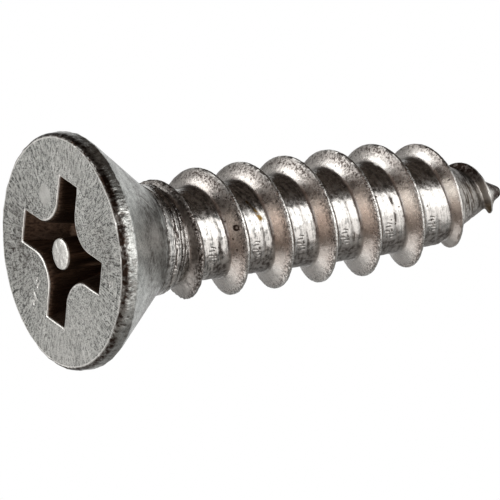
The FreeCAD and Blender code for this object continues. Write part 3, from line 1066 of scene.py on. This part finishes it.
def rolled_steel(colours):
    """Thread rolled stainless steel.

    The eye sees a root polished and streaked along the thread where the die slid, a thin warm coat on the
    flanks with a painted warm reflection round one side, dark pits near the crests and brown deposits.
    Painted shade lies in the corners at the flanks' feet, on the first ridge and under the roots, and painted
    highlights on the crests, the flanks and the tip.
    """
    material, add = new_material("Stainless steel, thread rolled")
    place = place_in_millimetres(add)
    at = SimpleNamespace(**{
        name: add("Attribute", attribute_name=name, output="Fac") for name in (
            "flank", "film", "crest_height", "across", "round_root", "rubbed_and_highlight", "soil_and_shade", "pitted", "gold",
            "clean", "streaked", "hammered",
        )
    })
    # The streaks' noise hardly changes along the thread and changes quickly across it
    along = add("CombineXYZ", {
        "X": add("SeparateXYZ", {"Vector": place}), "Y": add("SeparateXYZ", {"Vector": place}, output="Y"),
        "Z": at.crest_height,
    })
    along = add("Mapping", {"Vector": along, "Scale": (0.08, 0.08, 0.08)})
    streak = add("TexNoise", {
        "Vector": along, "W": at.across, "Scale": 1 / DIE_STREAK, "Detail": 3.0, "Roughness": 0.6,
    }, noise_dimensions="4D")
    grain, stain, shade = (
        add("TexNoise", {"Vector": place, "Scale": 1 / size, "Detail": detail, "Roughness": contrast})
        for size, detail, contrast in ((ROLLED_GRAIN, 2.0, 0.75), (STAIN, 4.0, 0.65), (SHADE, 3.0, 0.6))
    )
    blow = add("TexNoise", {"Vector": place, "Scale": 1 / HAMMER_MARK, "Detail": 1.0})
    cell = add("TexVoronoi", {"Vector": place, "Scale": 1 / SPOT_SPACING})
    on_root = add("Mix", {0: 0.5, 2: streak, 3: stain})
    on_flank = add("Mix", {0: 0.4, 2: grain, 3: stain})
    texture = add("Mix", {0: at.flank, 2: on_root, 3: on_flank})
    grooves = neck_grooves(add, place)
    crack = near_marks(add, place, (CRACK,))
    pit = near_marks(add, place, (PIT,))
    speck = near_marks(add, place, GOLD_SPECK)
    die_marks = near_marks(add, add("CombineXYZ", {"X": at.round_root, "Y": at.across}), ROLL_MARKS)
    pressed = add("Math", {0: die_marks, 1: PRESSED_SHARE}, operation="MULTIPLY")

    dark, spotted, pit_rim, less = (
        add("MapRange", dict(zip(RANGE, row))) for row in (
            (texture, 0.40, 0.54, 0.85, 0.0), (cell, 0.08, 0.16, 1.0, 0.0), (pit, 0.10, 0.30, 0.0, 1.0),
            (at.flank, 0.0, 1.0, 1.0, 0.35),
        )
    )
    film, less, pits, spots, pit, drawn, between, residue_and_shade, speck, tint = patches(
        add,
        (at.film, shade, 0.3, 0.7, 0.6, 1.0), (less, at.clean, 0.0, 1.0, 1.0, 0.65),
        (at.pitted, grain, 0.42, 0.50, 0.9, 0.0), (spotted, shade, 0.45, 0.55, 0.0, 1.0),
        (pit_rim, pit, 0.50, 0.75, 1.0, 0.0), (at.streaked, streak, 0.42, 0.52, 0.9, 0.0),
        (at.hammered, blow, 0.40, 0.50, 0.9, 0.0), (at.soil_and_shade, stain, 0.35, 0.6, 1.0, 0.45),
        (speck, stain, 0.40, 0.50, 0.2, 2.0), (at.gold, stain, 0.35, 0.60, 0.5, 1.0),
    )
    pits = strongest(add, (pits, spots, grooves, pit, crack, drawn, between, pressed))
    # Coats: a warm coat that includes a painted warm reflection, dark grain, brown that includes painted
    # shade, a golden tint, and lighter metal that includes painted highlights
    colour = coated(add, colours.rolled, (
        (film, colours.rolled_film),
        (add("Math", {0: dark, 1: less}, operation="MULTIPLY"), colours.tumbled_dark),
        (strongest(add, (pits, residue_and_shade)), colours.soil_and_shade),
        (add("Math", {0: strongest(add, (speck, tint)), 1: 1.0}, operation="MINIMUM"), colours.heat_gold),
        (at.rubbed_and_highlight, colours.rubbed_and_highlight),
    ))
    roughness = add("Mix", {0: at.flank, 2: 0.19, 3: 0.22})
    stained = add("MapRange", {"Value": stain, "From Min": 0.35, "From Max": 0.65})
    for pattern, rougher in ((stained, 0.12), (residue_and_shade, 0.25)):
        roughness = add("Math", {0: pattern, 1: rougher, 2: roughness}, operation="MULTIPLY_ADD")
    finish_metal(add, colour, roughness, ROLLED_RELIEF, texture, (
        (PIT_RELIEF, pits),
        (GROOVE_RELIEF, add("Math", {0: grooves, 1: pressed}, operation="ADD")),
        (HAMMER_RELIEF, add("Math", {0: blow, 1: at.hammered}, operation="MULTIPLY")),
    ))
    return material


# Pieces


REGION_MATERIAL = {
    "pin_top": 0, "recess": 1, "entry": 1, "lip": 0, "face": 0, "roll": 0, "land": 0, "cone": 0, "thread": 2,
}


def place_object(scene, name, data):
    """A new object with this data, in the scene."""
    thing = bpy.data.objects.new(name, data)
    scene.collection.objects.link(thing)
    return thing


class SCREW_OT_body(bpy.types.Operator):
    """Make the screw: head, pinned recess, neck, shank, thread and point as one closed piece"""

    bl_idname = "screw.body"
    bl_label = "Screw"

    def execute(self, context):
        scene = context.scene
        shape = ScrewShape(
            in_millimetres(scene.screw_head), in_millimetres(scene.screw_thread),
            in_millimetres(scene.screw_recess), scene.screw_density.columns,
        )
        points, triangles, regions, facts = screw_surface(shape)
        points = worn(shape, points, triangles, facts)
        mesh = bpy.data.meshes.new("screw_body")
        mesh.from_pydata(points * MM, [], triangles)
        colours = scene.screw_colours
        for make in (tumbled_steel, punched_steel, rolled_steel):
            mesh.materials.append(make(colours))
        for name, values in surface_facts(shape, points, facts).items():
            mesh.attributes.new(name, "FLOAT", "POINT").data.foreach_set("value", values.astype(np.float32))
        index = np.array([REGION_MATERIAL[name] for name in regions], np.int32)
        mesh.polygons.foreach_set("material_index", index)
        mesh.polygons.foreach_set("use_smooth", np.ones(len(regions), bool))
        mesh.set_sharp_from_angle(angle=math.radians(38))
        mesh.update()
        body = place_object(scene, "screw_body", mesh)
        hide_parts("screw")
        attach(body, "root")
        return {"FINISHED"}


# Studio


class StudioSizes(bpy.types.PropertyGroup):
    view_tilt: angle_property("View tilt", "Between the screw's axis and the line of sight", 59.70)
    view_roll: angle_property("View roll", "The axis rises this much to the right in the picture", 7.92)
    view_turn: angle_property("View turn", "The recess's wings from the picture's own direction", 24.9)
    view_distance: length_property("View distance", "From the face's centre", 1140.0)


FACE_CENTRE_PX = (61.5, 252.2)
PX_PER_MM = 20.39
LAMP_DISTANCE = 0.25
CARD_DISTANCE = 0.40
FLOOR_REACH = 3.0
FLOOR_DROP = -0.00002
# Cells along each side of a card
CARD_STEPS = 24
# The floor's colour is a linear reflectance
FLOOR_COLOUR = (0.85, 0.85, 0.85, 1.0)
# Strength of the white surroundings as light on matte surfaces, against one where they are seen
SOFT_SKY = 0.45
NEAR_CLIP = 0.1
FAR_CLIP = 20.0
# Directions are seen from the screw, in degrees: azimuth from the camera to the right, and elevation.
# Softboxes: azimuth, elevation, width, height and radiance
SOFTBOXES = (
    ("softbox_right", 58.0, 14.0, 38.0, 40.0, 1.45),
    ("softbox_right_tall", 62.0, -4.0, 48.0, 74.0, 1.3),
    ("softbox_left", -86.0, 10.0, 38.0, 48.0, 2.8),
    ("softbox_left_low", -102.0, -34.0, 36.0, 34.0, 1.0),
    ("fill_front", -22.0, -13.0, 34.0, 30.0, 1.2),
)
# Dark cards that the metal reflects: azimuths, elevations and colour
CARDS = (
    ("card_above", (-180.0, 70.0), (35.0, 90.0), "#3A322D"),
    ("card_above_right", (70.0, 180.0), (35.0, 90.0), "#453D37"),
    ("card_below", (-180.0, 180.0), (-90.0, -50.0), "#98938F"),
    ("card_behind_left", (-170.0, -114.0), (-50.0, 35.0), "#A09F9E"),
    ("card_front", (-114.0, 85.0), (-50.0, 35.0), "#6C5A51"),
    ("card_right_low", (85.0, 180.0), (-50.0, -15.0), "#A09F9E"),
)


def photo_axes(studio):
    """Unit vectors of the picture in the model's frame: to the right, up, and towards the camera."""
    tilt, roll, turn = studio.view_tilt, studio.view_roll, studio.view_turn
    level = np.array([math.sin(turn), math.cos(turn), 0.0])
    side = np.array([-math.cos(turn), math.sin(turn), 0.0])
    axis = np.array([0.0, 0.0, 1.0])
    towards = math.sin(tilt) * level - math.cos(tilt) * axis
    away = math.cos(tilt) * level + math.sin(tilt) * axis
    right = math.cos(roll) * away + math.sin(roll) * side
    down = -math.sin(roll) * away + math.cos(roll) * side
    return right, -down, towards


def facing(right, up, towards, place):
    """Matrix of an object at a place whose local -Z looks along minus towards."""
    matrix = Matrix.Identity(4)
    for column, axis in enumerate((right, up, towards, place)):
        for row in range(3):
            matrix[row][column] = float(axis[row])
    return matrix


def from_camera(studio, azimuths, elevations):
    """Unit vectors from the screw at azimuths and elevations in degrees, in the picture's directions."""
    azimuths, elevations = np.radians(azimuths), np.radians(elevations)
    level = np.cos(elevations)
    in_picture = np.stack([level * np.sin(azimuths), np.sin(elevations), level * np.cos(azimuths)], axis=-1)
    return in_picture @ np.stack(photo_axes(studio))


def card_surface(studio, azimuths, elevations, middle):
    """Part of a sphere about the screw's middle, between two azimuths and two elevations."""
    azimuth, elevation = np.meshgrid(
        *(np.linspace(*span, CARD_STEPS + 1) for span in (azimuths, elevations)), indexing="ij"
    )
    points = middle + CARD_DISTANCE * from_camera(studio, azimuth.ravel(), elevation.ravel())
    ids = np.arange(len(points)).reshape(azimuth.shape)
    cells = np.stack([ids[:-1, :-1], ids[1:, :-1], ids[1:, 1:], ids[:-1, 1:]], axis=-1).reshape(-1, 4)
    return points, cells


class SCREW_OT_stage(bpy.types.Operator):
    """Make the studio: floor, background, lamps, cards and the camera at the photo's viewing angle"""

    bl_idname = "screw.stage"
    bl_label = "Studio"

    def execute(self, context):
        scene = context.scene
        studio = scene.screw_studio
        right, up, towards = photo_axes(studio)
        half = IMAGE_SIZE / 2
        scale = PX_PER_MM / MM
        offset = (half - FACE_CENTRE_PX[0]) / scale * right - (half - FACE_CENTRE_PX[1]) / scale * up
        camera_data = bpy.data.cameras.new("photo_camera")
        camera_data.sensor_width = SENSOR_MM
        camera_data.lens = SENSOR_MM * scale * studio.view_distance / IMAGE_SIZE
        camera_data.clip_start = NEAR_CLIP
        camera_data.clip_end = FAR_CLIP
        scene.camera = place_object(scene, "photo_camera", camera_data)
        scene.camera.matrix_world = facing(right, up, towards, offset + studio.view_distance * towards)

        world = bpy.data.worlds.new("White studio")
        world.use_nodes = True
        world.node_tree.nodes.clear()
        add = partial(add_node, world.node_tree)
        rays = [add("LightPath", output=f"Is {ray} Ray") for ray in ("Camera", "Glossy", "Transmission")]
        strength = add("MapRange", {"Value": strongest(add, [0.0, *rays]), "To Min": SOFT_SKY})
        add("OutputWorld", {"Surface": add("Background", {"Color": linear("#FFFFFF"), "Strength": strength})})
        scene.world = world
        scene.view_settings.view_transform = "Standard"

        middle = np.array([0.0, 0.0, 0.5 * SCREW_LENGTH])
        for name, azimuth, elevation, wide, tall, radiance in SOFTBOXES:
            direction = from_camera(studio, azimuth, elevation)
            across = np.cross(up, direction)
            across /= np.linalg.norm(across)
            lamp = bpy.data.lights.new(name, "AREA")
            lamp.shape = "RECTANGLE"
            lamp.size = 2 * LAMP_DISTANCE * math.tan(math.radians(wide / 2))
            lamp.size_y = 2 * LAMP_DISTANCE * math.tan(math.radians(tall / 2))
            lamp.energy = math.pi * lamp.size * lamp.size_y * radiance
            holder = place_object(scene, name, lamp)
            place = middle + LAMP_DISTANCE * direction
            holder.matrix_world = facing(across, np.cross(direction, across), direction, place)
            holder.visible_camera = False

        for name, azimuths, elevations, colour in CARDS:
            mesh = bpy.data.meshes.new(name)
            points, cells = card_surface(studio, azimuths, elevations, middle)
            mesh.from_pydata(points, [], cells)
            material, add = new_material(name)
            add("OutputMaterial", {"Surface": add("Emission", {"Color": linear(colour), "Strength": 1.0})})
            mesh.materials.append(material)
            card = place_object(scene, name, mesh)
            for ray in ("camera", "diffuse", "transmission", "volume_scatter", "shadow"):
                setattr(card, "visible_" + ray, False)

        mesh = bpy.data.meshes.new("floor")
        corners = [
            (x * FLOOR_REACH, y * FLOOR_REACH, FLOOR_DROP) for x, y in ((-1, -1), (1, -1), (1, 1), (-1, 1))
        ]
        mesh.from_pydata(corners, [], [(0, 1, 2, 3)])
        material, add = new_material("Matte white board")
        board = add("BsdfDiffuse", {"Color": FLOOR_COLOUR})
        below = add("NewGeometry", output="Backfacing")
        add("OutputMaterial", {"Surface": add("MixShader", {0: below, 1: board, 2: add("BsdfTransparent")})})
        mesh.materials.append(material)
        floor = place_object(scene, "floor", mesh)
        for ray in ("diffuse", "glossy", "transmission", "volume_scatter", "shadow"):
            setattr(floor, "visible_" + ray, False)
        return {"FINISHED"}


class SCREW_PT_panel(bpy.types.Panel):
    """Lists the sizes, the colours and the operators in the sidebar"""

    bl_idname = "SCREW_PT_panel"
    bl_label = "Pinned sheet metal screw"
    bl_space_type = "VIEW_3D"
    bl_region_type = "UI"
    bl_category = "Screw"

    def draw(self, context):
        for name in GROUPS:
            box = self.layout.box()
            values = getattr(context.scene, name)
            for key in own_keys(values):
                box.prop(values, key)
        for operator in ("screw.body", "screw.stage"):
            self.layout.operator(operator)


GROUPS = {
    "screw_head": HeadSizes, "screw_thread": ThreadSizes, "screw_recess": RecessSizes,
    "screw_density": MeshDensity, "screw_colours": SteelColours, "screw_studio": StudioSizes,
}
CLASSES = (*GROUPS.values(), SCREW_OT_body, SCREW_OT_stage, SCREW_PT_panel)


def register():
    for cls in CLASSES:
        bpy.utils.register_class(cls)
    for name, group in GROUPS.items():
        setattr(bpy.types.Scene, name, PointerProperty(type=group))


def unregister():
    for name in GROUPS:
        delattr(bpy.types.Scene, name)
    for cls in reversed(CLASSES):
        bpy.utils.unregister_class(cls)


def main():
    register()
    bpy.ops.screw.body()
    bpy.ops.screw.stage()


if __name__ == "__main__":
    main()
